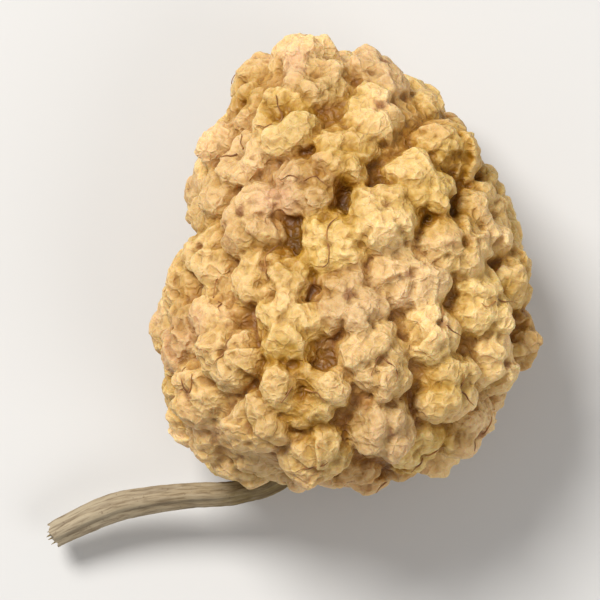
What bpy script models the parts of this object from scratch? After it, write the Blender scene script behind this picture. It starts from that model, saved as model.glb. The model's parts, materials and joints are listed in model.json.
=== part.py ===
# A dried white mulberry lying on its side, with its stalk.
# Metres, +Z up. Its tip points along +Y, and the surface that it rests on is z = 0.

import math
import random

import bmesh
import bpy
from mathutils import Matrix, Quaternion, Vector

MM = 0.001

# The egg that the drupelets reach out to. With their spread, the fruit is 14.7 by 12.4 by 9.6 mm.
BERRY_LENGTH = 15.0 * MM
BERRY_WIDTH = 11.2 * MM
BERRY_HEIGHT = 10.0 * MM
EGG_BLUNTNESS = 2.8  # 2 is a plain ellipse, more is fuller towards both ends
EGG_TAPER = 0.22  # how much the tip half narrows and the base half swells
SIDE_BOW = 0.6 * MM  # the dried fruit bends a little towards +X
DENT_DEPTH = 0.03  # shallow dents where the flesh shrank, as a share of its radius
BERRY_CENTRE = Vector((0.97, 1.14, 4.45)) * MM

# Drupelets, set in a golden-angle spiral from the tip to the base.
DRUPELET_COUNT = 96
DRUPELET_RADIUS = 1.36 * MM
DRUPELET_RISE = 1.15 * MM  # how far they stand out of the core
END_SHRINK = 0.08  # those at the tip and the base are a little smaller
SIZE_SPREAD = 0.12
RISE_SPREAD = 0.16
WITHERED_SHARE = 0.14  # some never filled out
WITHERED_SIZE = 0.78
WITHERED_RISE = 0.70
PLACE_SPREAD = 0.13  # of the spacing between two drupelets
LEAN_SPREAD = math.radians(13)
TIP_LEAN = math.radians(9)  # they lie over towards the tip
SEED = 12
LEVEL_STEPS = 1000
GOLDEN_ANGLE = math.pi * (3.0 - math.sqrt(5.0))

# One drupelet: four tepals closed over a seed, with a dimple where they meet.
# Each ring is its radius and its level, as shares of the drupelet's radius and rise.
TEPALS = 4
SIDES = 12
LOBE_DEPTH = 0.11
RINGS = ((0.98, -0.22), (1.00, 0.22), (0.76, 0.70), (0.36, 0.95))
ROOT_LEVEL = -1.05
DIMPLE_LEVEL = 0.72

CORE_COLUMNS = 24
CORE_ROWS = 14

# The stalk: a thin ribbed twig that leaves the base and turns to the side.
# Its points are in millimetres from the middle of the berry.
STALK_ROUTE = (
    (-0.3, -4.6, -0.4),
    (-0.9, -6.5, -1.3),
    (-2.3, -7.3, -2.0),
    (-4.2, -7.6, -2.5),
    (-6.4, -8.15, -2.9),
    (-8.5, -9.3, -3.4),
)
STALK_RADII = (0.50, 0.40, 0.36, 0.39, 0.45, 0.38)  # mm, at the route's points
STALK_SIDES = 10
STALK_STEPS = 22
SOCKET_STEPS = 11  # the base is open round the stalk this far along it
RIB_DEPTH = 0.10
SOCKET_GAP = 0.15 * MM


def clear_scene():
    for old in list(bpy.data.objects):
        bpy.data.objects.remove(old, do_unlink=True)


def make_material(name, colour, roughness):
    material = bpy.data.materials.new(name)
    material.use_nodes = True
    shader = material.node_tree.nodes["Principled BSDF"]
    shader.inputs["Base Color"].default_value = (*colour, 1.0)
    shader.inputs["Roughness"].default_value = roughness
    shader.inputs["Metallic"].default_value = 0.0
    return material


def add_object(name, bm, collection=None):
    bmesh.ops.recalc_face_normals(bm, faces=bm.faces)
    mesh = bpy.data.meshes.new(name)
    bm.to_mesh(mesh)
    bm.free()
    obj = bpy.data.objects.new(name, mesh)
    (collection or bpy.context.scene.collection).objects.link(obj)
    return obj


def remove_objects(objects):
    for used in list(objects):
        bpy.data.objects.remove(used, do_unlink=True)


def close_rings(bm, rings, first, last):
    # Skin a stack of rings, with a point or a flat cap at each end.
    count = len(rings[0])
    for lower, upper in zip(rings, rings[1:]):
        for side in range(count):
            after = (side + 1) % count
            bm.faces.new((lower[side], lower[after], upper[after], upper[side]))
    for ring, point in ((rings[0], first), (rings[-1], last)):
        if point is None:
            bm.faces.new(ring)
            continue
        for side in range(count):
            bm.faces.new((ring[side], ring[(side + 1) % count], point))


def apply_boolean(obj, operation, collection=None, cutter=None):
    modifier = obj.modifiers.new("join", "BOOLEAN")
    modifier.operation = operation
    modifier.solver = "MANIFOLD"  # EXACT leaves a pocket among the drupelets that is all but sealed
    if collection:
        modifier.operand_type = "COLLECTION"
        modifier.collection = collection
    else:
        modifier.object = cutter
    graph = bpy.context.evaluated_depsgraph_get()
    result = bpy.data.meshes.new_from_object(obj.evaluated_get(graph))
    obj.modifiers.clear()
    obj.data = result


def keep_outer_shell(obj):
    # Pockets that neighbouring drupelets close between them are filled.
    bm = bmesh.new()
    bm.from_mesh(obj.data)
    waiting = set(bm.faces)
    shells = []
    while waiting:
        shell = []
        reached = [waiting.pop()]
        while reached:
            face = reached.pop()
            shell.append(face)
            for edge in face.edges:
                for other in edge.link_faces:
                    if other in waiting:
                        waiting.remove(other)
                        reached.append(other)
        shells.append(shell)
    outer = max(shells, key=len)
    inner = [face for shell in shells if shell is not outer for face in shell]
    bmesh.ops.delete(bm, geom=inner, context="FACES")
    bm.to_mesh(obj.data)
    bm.free()


def dent(along, turn):
    broad = math.sin(2 * turn + 2.1 * along + 1.3)
    narrow = math.sin(3 * turn - 2.6 * along + 0.4)
    return 1.0 + DENT_DEPTH * (broad + 0.7 * narrow)


def egg_profile(along):
    # How wide the egg is for its middle. along runs from -1 at the base to 1 at the tip.
    round_part = max(0.0, 1.0 - abs(along) ** EGG_BLUNTNESS) ** (1.0 / EGG_BLUNTNESS)
    return round_part * (1.0 - EGG_TAPER * along)


def egg_point(along, turn, inset):
    # turn goes round the length.
    round_part = egg_profile(along) * dent(along, turn)
    x = (BERRY_WIDTH / 2 - inset) * round_part * math.cos(turn)
    y = (BERRY_LENGTH / 2 - inset) * along
    z = (BERRY_HEIGHT / 2 - inset) * round_part * math.sin(turn)
    x += SIDE_BOW * (1.0 - 2.0 * along * along)
    return BERRY_CENTRE + Vector((x, y, z))


def egg_normal(along, turn, inset):
    step = 0.01
    inner = max(-0.97, min(0.97, along))
    forward = egg_point(inner + step, turn, inset) - egg_point(inner - step, turn, inset)
    around = egg_point(inner, turn + step, inset) - egg_point(inner, turn - step, inset)
    normal = forward.cross(around).normalized()
    outward = egg_point(along, turn, inset) - BERRY_CENTRE
    return normal if normal.dot(outward) > 0 else -normal


def lean_towards(direction, target, angle):
    axis = direction.cross(target)
    if axis.length < 1e-6:
        return direction.copy()
    return Quaternion(axis.normalized(), angle) @ direction


def even_levels():
    # How far along each drupelet sits, so that they share the egg's surface evenly.
    radius = (BERRY_WIDTH + BERRY_HEIGHT) / 4 - DRUPELET_RISE
    half_length = BERRY_LENGTH / 2 - DRUPELET_RISE
    areas = [0.0]
    for step in range(LEVEL_STEPS):
        upper = egg_profile(1.0 - 2.0 * step / LEVEL_STEPS)
        lower = egg_profile(1.0 - 2.0 * (step + 1) / LEVEL_STEPS)
        slant = math.hypot(2.0 * half_length / LEVEL_STEPS, radius * (upper - lower))
        areas.append(areas[-1] + slant * (upper + lower))
    levels = []
    step = 0
    for index in range(DRUPELET_COUNT):
        wanted = areas[-1] * (index + 0.5) / DRUPELET_COUNT
        while areas[step + 1] < wanted:
            step += 1
        part = (wanted - areas[step]) / (areas[step + 1] - areas[step])
        levels.append(1.0 - 2.0 * (step + part) / LEVEL_STEPS)
    return levels


def drupelet_places():
    # Where each drupelet sits, which way it faces, its turn, its size and its rise.
    draw = random.Random(SEED)
    spacing = 2.0 / math.sqrt(DRUPELET_COUNT)
    places = []
    for index, along in enumerate(even_levels()):
        turn = index * GOLDEN_ANGLE
        width = math.sqrt(1.0 - along * along)
        along += draw.uniform(-1, 1) * PLACE_SPREAD * spacing * width
        turn += draw.uniform(-1, 1) * PLACE_SPREAD * spacing / max(width, 0.3)
        size = 1.0 - END_SHRINK * abs(along) ** 3
        size *= 1.0 + draw.uniform(-1, 1) * SIZE_SPREAD
        rise = size * (1.0 + draw.uniform(-1, 1) * RISE_SPREAD)
        if draw.random() < WITHERED_SHARE:
            size *= WITHERED_SIZE
            rise *= WITHERED_RISE
        spin = draw.uniform(0, math.tau)
        lean_way = draw.uniform(0, math.tau)
        lean = draw.random() * LEAN_SPREAD
        normal = egg_normal(along, turn, DRUPELET_RISE)
        facing = lean_towards(normal, Vector((0, 1, 0)), TIP_LEAN * width)
        sideways = Quaternion(normal, lean_way) @ normal.orthogonal().normalized()
        facing = lean_towards(facing, sideways, lean)
        places.append((egg_point(along, turn, DRUPELET_RISE), facing, spin, size, rise))
    return places


def drupelet_matrix(place, facing, spin, size, rise):
    turn = Vector((0, 0, 1)).rotation_difference(facing) @ Quaternion((0, 0, 1), spin)
    radius = DRUPELET_RADIUS * size
    scale = Matrix.Diagonal((radius, radius, DRUPELET_RISE * rise, 1.0))
    return Matrix.Translation(place) @ turn.to_matrix().to_4x4() @ scale


def add_drupelet(collection, index, matrix):
    bm = bmesh.new()
    rings = []
    for radius, level in RINGS:
        ring = []
        for side in range(SIDES):
            angle = math.tau * side / SIDES
            lobe = math.cos(TEPALS * angle)  # -1 on a tepal, 1 in the groove between two
            reach = radius * (1.0 - LOBE_DEPTH * lobe)
            height = level - 0.5 * LOBE_DEPTH * lobe * max(level, 0.0)
            ring.append(bm.verts.new((reach * math.cos(angle), reach * math.sin(angle), height)))
        rings.append(ring)
    root = bm.verts.new((0, 0, ROOT_LEVEL))
    dimple = bm.verts.new((0, 0, DIMPLE_LEVEL))
    close_rings(bm, rings, root, dimple)
    bm.transform(matrix)
    return add_object("drupelet_%03d" % index, bm, collection)


def make_core():
    bm = bmesh.new()
    rings = []
    for row in range(1, CORE_ROWS):
        along = -math.cos(math.pi * row / CORE_ROWS)
        turns = [math.tau * column / CORE_COLUMNS for column in range(CORE_COLUMNS)]
        rings.append([bm.verts.new(egg_point(along, turn, DRUPELET_RISE)) for turn in turns])
    base = bm.verts.new(egg_point(-1.0, 0.0, DRUPELET_RISE))
    tip = bm.verts.new(egg_point(1.0, 0.0, DRUPELET_RISE))
    close_rings(bm, rings, base, tip)
    return add_object("berry", bm)


def stalk_point(amount):
    # A Catmull-Rom curve through the route's points, with its radius, at 0 to 1.
    points = [BERRY_CENTRE + Vector(point) * MM for point in STALK_ROUTE]
    spans = len(points) - 1
    span = min(int(amount * spans), spans - 1)
    part = amount * spans - span
    before = points[max(span - 1, 0)]
    start = points[span]
    end = points[span + 1]
    after = points[min(span + 2, spans)]
    place = 0.5 * (2 * start + (end - before) * part
                   + (2 * before - 5 * start + 4 * end - after) * part ** 2
                   + (3 * start - before - 3 * end + after) * part ** 3)
    radius = STALK_RADII[span] * (1 - part) + STALK_RADII[span + 1] * part
    return place, radius * MM


def stalk_rings(bm, first_step, last_step, room):
    rings = []
    side_way = Vector((0, 0, 1))
    for step in range(first_step, last_step + 1):
        amount = step / STALK_STEPS
        place, radius = stalk_point(amount)
        ahead = stalk_point(min(1.0, amount + 0.01))[0] - stalk_point(max(0.0, amount - 0.01))[0]
        ahead.normalize()
        side_way = (side_way - ahead * side_way.dot(ahead)).normalized()
        other_way = ahead.cross(side_way)
        ring = []
        for side in range(STALK_SIDES):
            angle = math.tau * side / STALK_SIDES
            reach = radius * (1.0 + RIB_DEPTH * (-1) ** side) + room
            offset = side_way * math.cos(angle) + other_way * math.sin(angle)
            ring.append(bm.verts.new(place + offset * reach))
        rings.append(ring)
    return rings


def make_stalk():
    bm = bmesh.new()
    close_rings(bm, stalk_rings(bm, 1, STALK_STEPS, 0.0), None, None)
    return add_object("stalk", bm)


def cut_away(berry, name, bm):
    cutter = add_object(name, bm)
    apply_boolean(berry, "DIFFERENCE", cutter=cutter)
    remove_objects([cutter])


def cut_socket(berry):
    # The hole in the base that the stalk's root sits in.
    bm = bmesh.new()
    close_rings(bm, stalk_rings(bm, 0, SOCKET_STEPS, SOCKET_GAP), None, None)
    cut_away(berry, "socket", bm)


def cut_flat_underside(berry):
    # The drupelets that the fruit lies on are pressed flat.
    bm = bmesh.new()
    reach = 2 * BERRY_LENGTH
    bmesh.ops.create_cube(bm, size=reach, matrix=Matrix.Translation((0, 0, -reach / 2)))
    cut_away(berry, "underside", bm)


def make_berry():
    berry = make_core()
    drupelets = bpy.data.collections.new("drupelets")
    bpy.context.scene.collection.children.link(drupelets)
    for index, place in enumerate(drupelet_places()):
        add_drupelet(drupelets, index, drupelet_matrix(*place))
    apply_boolean(berry, "UNION", collection=drupelets)
    remove_objects(drupelets.objects)
    bpy.data.collections.remove(drupelets)
    cut_socket(berry)
    cut_flat_underside(berry)
    keep_outer_shell(berry)
    return berry


def main():
    clear_scene()
    berry = make_berry()
    berry.data.materials.clear()
    berry.data.materials.append(make_material("dried_mulberry_flesh", (0.60, 0.36, 0.12), 0.55))
    stalk = make_stalk()
    stalk.data.materials.append(make_material("dry_stalk", (0.42, 0.33, 0.21), 0.75))


main()
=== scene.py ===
import json
import math
import random

import bmesh
import bpy
import numpy as np
from mathutils import Matrix, Quaternion, Vector, noise

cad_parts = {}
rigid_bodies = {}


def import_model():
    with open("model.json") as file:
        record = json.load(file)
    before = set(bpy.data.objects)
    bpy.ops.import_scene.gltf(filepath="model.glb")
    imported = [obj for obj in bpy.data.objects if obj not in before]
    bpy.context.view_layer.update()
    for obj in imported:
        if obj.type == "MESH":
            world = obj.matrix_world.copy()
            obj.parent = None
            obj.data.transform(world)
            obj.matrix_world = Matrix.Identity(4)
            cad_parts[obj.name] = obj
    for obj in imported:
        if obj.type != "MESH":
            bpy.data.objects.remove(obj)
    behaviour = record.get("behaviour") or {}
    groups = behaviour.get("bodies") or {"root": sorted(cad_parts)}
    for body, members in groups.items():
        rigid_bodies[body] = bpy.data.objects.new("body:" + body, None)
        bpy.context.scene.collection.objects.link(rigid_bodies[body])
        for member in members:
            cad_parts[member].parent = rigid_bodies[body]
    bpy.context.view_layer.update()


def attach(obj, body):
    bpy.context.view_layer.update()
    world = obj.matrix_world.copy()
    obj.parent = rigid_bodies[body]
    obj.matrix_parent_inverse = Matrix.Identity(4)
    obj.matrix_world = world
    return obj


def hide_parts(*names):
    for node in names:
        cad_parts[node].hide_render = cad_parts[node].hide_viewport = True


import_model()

mm = 0.001
goldenAngle = math.pi * (3.0 - math.sqrt(5.0))
upward = Vector((0, 0, 1))
tipward = Vector((0, 1, 0))


def linear(hexColour):
    # sRGB hex to the linear colour that a node takes
    parts = [int(hexColour[i:i + 2], 16) / 255 for i in (1, 3, 5)]
    parts = [p / 12.92 if p <= 0.04045 else ((p + 0.055) / 1.055) ** 2.4 for p in parts]
    return (*parts, 1.0)


def addNode(tree, kind, inputs=None, **settings):
    # a node with its settings and inputs: an input is a value, an output, or a node for its first output
    node = tree.nodes.new(kind)
    for name, value in settings.items():
        setattr(node, name, value)
    for socket, value in (inputs or {}).items():
        if isinstance(value, bpy.types.Node):
            value = value.outputs[0]
        if isinstance(value, bpy.types.NodeSocket):
            tree.links.new(value, node.inputs[socket])
        else:
            node.inputs[socket].default_value = value
    return node


def startTree(name, inputs):
    # a geometry tree with named inputs, given as name: (kind of socket, usual value)
    tree = bpy.data.node_groups.new(name, "GeometryNodeTree")
    tree.interface.new_socket("Geometry", in_out="INPUT", socket_type="NodeSocketGeometry")
    for label, (kind, value) in inputs.items():
        socket = tree.interface.new_socket(label, in_out="INPUT", socket_type="NodeSocket" + kind)
        if value is not None:
            socket.default_value = value
    tree.interface.new_socket("Geometry", in_out="OUTPUT", socket_type="NodeSocketGeometry")
    return tree, addNode(tree, "NodeGroupInput").outputs


def endTree(tree, geometry, material):
    whole = addNode(tree, "GeometryNodeRealizeInstances", {"Geometry": geometry})
    finished = addNode(tree, "GeometryNodeSetMaterial", {"Geometry": whole, "Material": material})
    addNode(tree, "NodeGroupOutput", {"Geometry": finished})
    return tree


def useTree(piece, tree, values):
    modifier = piece.modifiers.new(tree.name, "NODES")
    modifier.node_group = tree
    for item in tree.interface.items_tree:
        if item.in_out == "INPUT" and item.name in values:
            modifier[item.identifier] = values[item.name]


def newMaterial(name):
    material = bpy.data.materials.new(name)
    material.use_nodes = True
    material.node_tree.nodes.clear()
    return material, material.node_tree


def newPiece(name, vertices, faces=(), edges=(), collection=None):
    mesh = bpy.data.meshes.new(name)
    mesh.from_pydata([tuple(v) for v in vertices], list(edges), [tuple(f) for f in faces])
    mesh.update()
    piece = bpy.data.objects.new(name, mesh)
    (collection or bpy.context.scene.collection).objects.link(piece)
    return piece


def setAttribute(piece, name, kind, values):
    attribute = piece.data.attributes.new(name, kind, "POINT")
    field = {"FLOAT": "value", "INT": "value", "FLOAT_VECTOR": "vector"}[kind]
    attribute.data.foreach_set(field, np.array(values, int if kind == "INT" else np.float32).ravel())


def finishedMesh(piece, name):
    # the evaluated piece as a plain mesh of its own, and the working piece removed
    graph = bpy.context.evaluated_depsgraph_get()
    mesh = bpy.data.meshes.new_from_object(piece.evaluated_get(graph))
    mesh.name = name
    removePieces([piece])
    for _ in range(len(mesh.materials) - 1):
        mesh.materials.pop(index=0)  # the empty slot that the working mesh began with
    result = bpy.data.objects.new(name, mesh)
    bpy.context.scene.collection.objects.link(result)
    mesh.shade_smooth()
    return result


def removePieces(pieces):
    for piece in list(pieces):
        bpy.data.objects.remove(piece, do_unlink=True)


def curvePoint(points, amount):
    # a Catmull-Rom curve through the points, at 0 to 1: the place, its span and how far along that span
    spans = len(points) - 1
    span = min(int(amount * spans), spans - 1)
    part = amount * spans - span
    before, start, end, after = (points[max(0, min(spans, span + k))] for k in (-1, 0, 1, 2))
    place = 0.5 * (2 * start + (end - before) * part + (2 * before - 5 * start + 4 * end - after) * part ** 2
                   + (3 * start - before - 3 * end + after) * part ** 3)
    return place, span, part


# The same egg and the same draws as the solid fruit, so each drupelet lies where its solid one does.
fruit = {
    "centre": Vector((0.97, 1.14, 4.45)) * mm,
    "length": 15.0 * mm,
    "width": 11.2 * mm,
    "height": 10.0 * mm,
    "bluntness": 2.8,  # 2 is a plain ellipse, more is fuller towards both ends
    "taper": 0.22,
    "bow": 0.6 * mm,
    "dentDepth": 0.03,
    "dents": ((2, 2.1, 1.3, 1.0), (3, -2.6, 0.4, 0.7)),  # how many round it, their twist, start and share
    "drupelets": 96,
    "radius": 1.36 * mm,
    "rise": 1.15 * mm,
    "endShrink": 0.08,
    "sizeSpread": 0.12,
    "riseSpread": 0.16,
    "witheredShare": 0.14,  # of them never filled out
    "witheredSize": 0.78,
    "witheredRise": 0.70,
    "placeSpread": 0.13,
    "slimmest": 0.3,  # share of the width, under which the spread round the length grows no more
    "leanSpread": math.radians(13),
    "tipLean": math.radians(9),
    "levelSteps": 1000,
    "seed": 12,
}


def dent(along, turn):
    waves = sum(share * math.sin(count * turn + twist * along + start)
                for count, twist, start, share in fruit["dents"])
    return 1.0 + fruit["dentDepth"] * waves


def eggProfile(along):
    # how wide the egg is for its middle: along runs from -1 at the base to 1 at the tip
    roundPart = max(0.0, 1.0 - abs(along) ** fruit["bluntness"]) ** (1.0 / fruit["bluntness"])
    return roundPart * (1.0 - fruit["taper"] * along)


def eggPoint(along, turn, fill=0.0):
    # the core's surface, or one that much higher: turn goes round the length
    inset = fruit["rise"] - fill
    roundPart = eggProfile(along) * dent(along, turn)
    x = (fruit["width"] / 2 - inset) * roundPart * math.cos(turn)
    y = (fruit["length"] / 2 - inset) * along
    z = (fruit["height"] / 2 - inset) * roundPart * math.sin(turn)
    return fruit["centre"] + Vector((x + fruit["bow"] * (1.0 - 2.0 * along * along), y, z))


def eggNormal(along, turn):
    step = 0.01
    inner = max(-0.97, min(0.97, along))  # a pole has no direction round the length
    forward = eggPoint(inner + step, turn) - eggPoint(inner - step, turn)
    around = eggPoint(inner, turn + step) - eggPoint(inner, turn - step)
    normal = forward.cross(around).normalized()
    return normal if normal.dot(eggPoint(along, turn) - fruit["centre"]) > 0 else -normal


def leanTowards(direction, target, angle):
    axis = direction.cross(target)
    if axis.length < 1e-6:
        return direction.copy()
    return Quaternion(axis.normalized(), angle) @ direction


def evenLevels():
    # how far along each drupelet sits, so that they share the egg's surface evenly
    steps = fruit["levelSteps"]
    radius = (fruit["width"] + fruit["height"]) / 4 - fruit["rise"]
    halfLength = fruit["length"] / 2 - fruit["rise"]
    areas = [0.0]
    for step in range(steps):
        upper = eggProfile(1.0 - 2.0 * step / steps)
        lower = eggProfile(1.0 - 2.0 * (step + 1) / steps)
        slant = math.hypot(2.0 * halfLength / steps, radius * (upper - lower))
        areas.append(areas[-1] + slant * (upper + lower))
    levels = []
    step = 0
    for index in range(fruit["drupelets"]):
        wanted = areas[-1] * (index + 0.5) / fruit["drupelets"]
        while areas[step + 1] < wanted:
            step += 1
        part = (wanted - areas[step]) / (areas[step + 1] - areas[step])
        levels.append(1.0 - 2.0 * (step + part) / steps)
    return levels


def drupeletPlaces():
    # where each drupelet sits, which way it faces, its turn, its size and its rise
    draw = random.Random(fruit["seed"])
    spacing = 2.0 / math.sqrt(fruit["drupelets"])
    places = []
    for index, along in enumerate(evenLevels()):
        turn = index * goldenAngle
        width = math.sqrt(1.0 - along * along)
        along += draw.uniform(-1, 1) * fruit["placeSpread"] * spacing * width
        turn += draw.uniform(-1, 1) * fruit["placeSpread"] * spacing / max(width, fruit["slimmest"])
        size = 1.0 - fruit["endShrink"] * abs(along) ** 3
        size *= 1.0 + draw.uniform(-1, 1) * fruit["sizeSpread"]
        rise = size * (1.0 + draw.uniform(-1, 1) * fruit["riseSpread"])
        withered = draw.random() < fruit["witheredShare"]
        if withered:
            size *= fruit["witheredSize"]
            rise *= fruit["witheredRise"]
        spin = draw.uniform(0, math.tau)
        leanWay = draw.uniform(0, math.tau)
        lean = draw.random() * fruit["leanSpread"]
        normal = eggNormal(along, turn)
        facing = leanTowards(normal, tipward, fruit["tipLean"] * width)
        sideways = Quaternion(normal, leanWay) @ normal.orthogonal().normalized()
        facing = leanTowards(facing, sideways, lean)
        places.append({
            "point": eggPoint(along, turn),
            "facing": facing,
            "turn": upward.rotation_difference(facing) @ Quaternion(upward, spin),
            "size": size,
            "rise": rise,
            "withered": withered,
        })
    return places


def drupeletRise(place, amount):
    # the way from where a drupelet sits to that share of its rise
    return place["facing"] * place["rise"] * fruit["rise"] * amount


# One drupelet, of radius 1 and rise 1: four fleshy tepals that dried shut over a seed.
drupelet = {
    "forms": 14,  # as many differently crumpled ones to choose from
    "sunken": 4,  # of them, these fell in over an empty seed
    "columns": 64,
    "rows": 30,
    "profile": ((0.0, -1.0), (0.56, -0.76), (0.82, -0.30), (0.89, 0.14),
                (0.82, 0.56), (0.52, 0.91), (0.18, 0.96), (0.0, 0.74)),
    "smoothRoot": 0.22,  # share of the way up that stays smooth
    "rootBlend": 0.2,  # and from there to the full crumple
    "dimpleRim": 0.4,  # nearer the middle than this the tepals and their folds fade
    "tepalSwell": 0.05,
    "swellLift": 0.5,  # share of that swell by which a tepal stands higher too
    "tepalRoundness": 0.6,
    "tepalSpread": 0.40,  # how far the four are from equal
    "tepalLevels": 0.06,
    "seamDepth": 0.13,  # between two tepals
    "seamShares": (0.2, 1.0),
    "seamWidth": 0.30,
    "seamSharpness": 1.3,
    "overlap": 0.06,  # the outer two tepals lie over the inner two
    "overlapSteepness": 4,
    "folds": 3,  # waves of them over each other, up its sides to where the tepals meet
    "foldDepth": 0.06,
    "foldCounts": (4, 5, 7, 8, 9),
    "foldTwist": 4,  # at most, in radians of their wave from root to dimple
    "dents": 2,
    "dentRows": (0.50, 0.80),
    "dentShares": (0.4, 1.0),
    "dentDepth": 0.20,
    "dentReach": 0.5,
    "dentSteepness": 2.5,
    "sinking": 0.45,
    "sinkReach": 0.55,
    "sunkenFolds": 0.4,  # how much of their folds the sunken ones keep
    "crumple": 0.09,
    "crumpleSize": 0.55,
    "crumpleDetail": (0.6, 2.2, 3),  # how it fades, how much finer each step is, and the steps
    "offCentre": 0.16,
    "seed": 40,
}


def profilePoint(amount):
    # up the side of a drupelet, from its root at 0 to its dimple at 1
    return curvePoint([Vector((*p, 0)) for p in drupelet["profile"]], amount)[0]


def sharpWave(angle):
    # from -1 in a round valley to 1 on a sharp crest
    return 1.0 - 2.0 * abs(math.sin(angle / 2))


def drupeletForm(index, collection):
    draw = random.Random(drupelet["seed"] + index)
    tepalLevels = [draw.uniform(-drupelet["tepalLevels"], drupelet["tepalLevels"]) for _ in range(4)]
    seams = [draw.uniform(*drupelet["seamShares"]) for _ in range(4)]
    uneven = [(times, draw.uniform(0, math.tau)) for times in (1, 2)]
    folds = [(draw.choice(drupelet["foldCounts"]), draw.uniform(0, math.tau),
              draw.uniform(-drupelet["foldTwist"], drupelet["foldTwist"]))
             for _ in range(drupelet["folds"])]
    shift = Vector([draw.uniform(-50, 50) for _ in range(3)])  # each form reads the noise somewhere else
    lean = Vector((draw.uniform(-1, 1), draw.uniform(-1, 1), 0)) * drupelet["offCentre"]
    sunken = index < drupelet["sunken"]
    step = 0.01  # up the profile, to tell its slope
    foldDepth = drupelet["foldDepth"] * (drupelet["sunkenFolds"] if sunken else 1.0)
    dents = []
    for _ in range(drupelet["dents"]):
        spot = profilePoint(draw.uniform(*drupelet["dentRows"]))
        angle = draw.uniform(0, math.tau)
        point = Vector((spot.x * math.cos(angle), spot.x * math.sin(angle), spot.y))
        dents.append((point, draw.uniform(*drupelet["dentShares"])))
    rows, columns = drupelet["rows"], drupelet["columns"]
    vertices = []
    for row in range(rows + 1):
        amount = row / rows
        spot = profilePoint(amount)
        ahead = profilePoint(min(1.0, amount + step)) - profilePoint(max(0.0, amount - step))
        outward = Vector((ahead.y, -ahead.x, 0)).normalized()
        upper = min(1.0, max(0.0, (amount - drupelet["smoothRoot"]) / drupelet["rootBlend"]))
        rim = min(1.0, spot.x / drupelet["dimpleRim"])
        for column in range(columns if 0 < row < rows else 1):
            angle = math.tau * column / columns
            quarters = angle + sum(
                drupelet["tepalSpread"] / n * math.sin(n * angle + start) for n, start in uneven)
            quarters /= math.pi / 2
            tepal = math.floor(quarters) % 4
            seam = seams[round(quarters) % 4]
            across = abs(math.sin(math.pi * quarters))  # 0 in the seam beside a tepal, 1 along its middle
            swell = drupelet["tepalSwell"] * (2.0 * across ** drupelet["tepalRoundness"] - 1.0)
            level = drupelet["overlap"] * (1.0 if tepal % 2 else -1.0) + tepalLevels[tepal]
            groove = seam * max(0.0, 1.0 - across / drupelet["seamWidth"]) ** drupelet["seamSharpness"]
            fold = sum(sharpWave(n * angle + start + twist * amount) for n, start, twist in folds)
            fold /= len(folds)
            point = Vector((spot.x * math.cos(angle), spot.x * math.sin(angle), spot.y))
            rough = noise.fractal(point / drupelet["crumpleSize"] + shift, *drupelet["crumpleDetail"])
            push = level * min(1.0, across * drupelet["overlapSteepness"])
            push = push + foldDepth * fold - drupelet["seamDepth"] * groove
            push = rim * push + drupelet["crumple"] * rough
            for dentPoint, share in dents:
                near = (point - dentPoint).length / drupelet["dentReach"]
                push -= drupelet["dentDepth"] * share * math.exp(-near * near * drupelet["dentSteepness"])
            push *= upper
            reach = spot.x * (1.0 + swell) + outward.x * push
            height = spot.y + drupelet["swellLift"] * swell * max(spot.y, 0.0) * rim + outward.y * push
            if sunken:
                fallen = math.exp(-(reach / drupelet["sinkReach"]) ** 2)
                height -= drupelet["sinking"] * max(0.0, height) * fallen
            aside = lean * max(0.0, height) ** 2
            vertices.append((reach * math.cos(angle) + aside.x, reach * math.sin(angle) + aside.y, height))
    faces = []
    last = len(vertices) - 1
    top = 1 + (rows - 2) * columns
    for column in range(columns):
        after = (column + 1) % columns
        faces.append((0, 1 + after, 1 + column))
        for row in range(rows - 2):
            low, high = 1 + row * columns, 1 + (row + 1) * columns
            faces.append((low + column, low + after, high + after, high + column))
        faces.append((top + column, top + after, last))
    newPiece("form_%02d" % index, vertices, faces, collection=collection)


# The skin: all drupelets grown into one, then buckled and wrinkled as it dried.
# It is worked at 1000 times its size, because a voxel can't be finer than 0.1 mm.
skin = {
    "working": 1000.0,
    "voxel": 0.07,  # mm, as the lengths below
    "fill": 0.35,  # of flesh that dried fast between the drupelets
    "coreColumns": 48,
    "coreRows": 28,
    "pullScale": 0.9,  # the slow noise that pulls the buckles out of shape, and how far
    "pull": 1.3,
    "pitSize": 0.62,  # from one buckle to the next
    "pitDepth": 0.065,
    "pitEdges": (0.02, 0.36),  # where a buckle's slope starts and ends
    "pitLevel": 0.35,
    "wrinkleSize": 0.34,
    "wrinkleDepth": 0.06,
    "normalSteps": 2,
    "smallest": 2000,  # points, below which a closed pocket inside is dropped
    "tableSize": 40.0,
    "triangles": 194000,
    "fineSteps": 3,  # how far round it a point looks to tell its fine and its broad relief
    "broadSteps": 130,
    "middleAmount": 0.6,  # a point of the skin goes with the drupelet that is nearest to it this far up
    "tipAmount": 0.85,  # and this far up are a drupelet's scar and its threads
}


def makeCore():
    columns, rows = skin["coreColumns"], skin["coreRows"]
    bm = bmesh.new()
    rings = []
    for row in range(1, rows):
        along = -math.cos(math.pi * row / rows)
        turns = [math.tau * c / columns for c in range(columns)]
        rings.append([bm.verts.new(eggPoint(along, turn, skin["fill"] * mm)) for turn in turns])
    for lower, upper in zip(rings, rings[1:]):
        for c in range(columns):
            after = (c + 1) % columns
            bm.faces.new((lower[c], lower[after], upper[after], upper[c]))
    for ring, end in ((rings[0], -1.0), (rings[-1], 1.0)):
        point = bm.verts.new(eggPoint(end, 0.0, skin["fill"] * mm))
        for c in range(columns):
            bm.faces.new((ring[c], ring[(c + 1) % columns], point))
    bmesh.ops.recalc_face_normals(bm, faces=bm.faces)
    core = newPiece("core", [])
    bm.to_mesh(core.data)
    bm.free()
    return core


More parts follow.
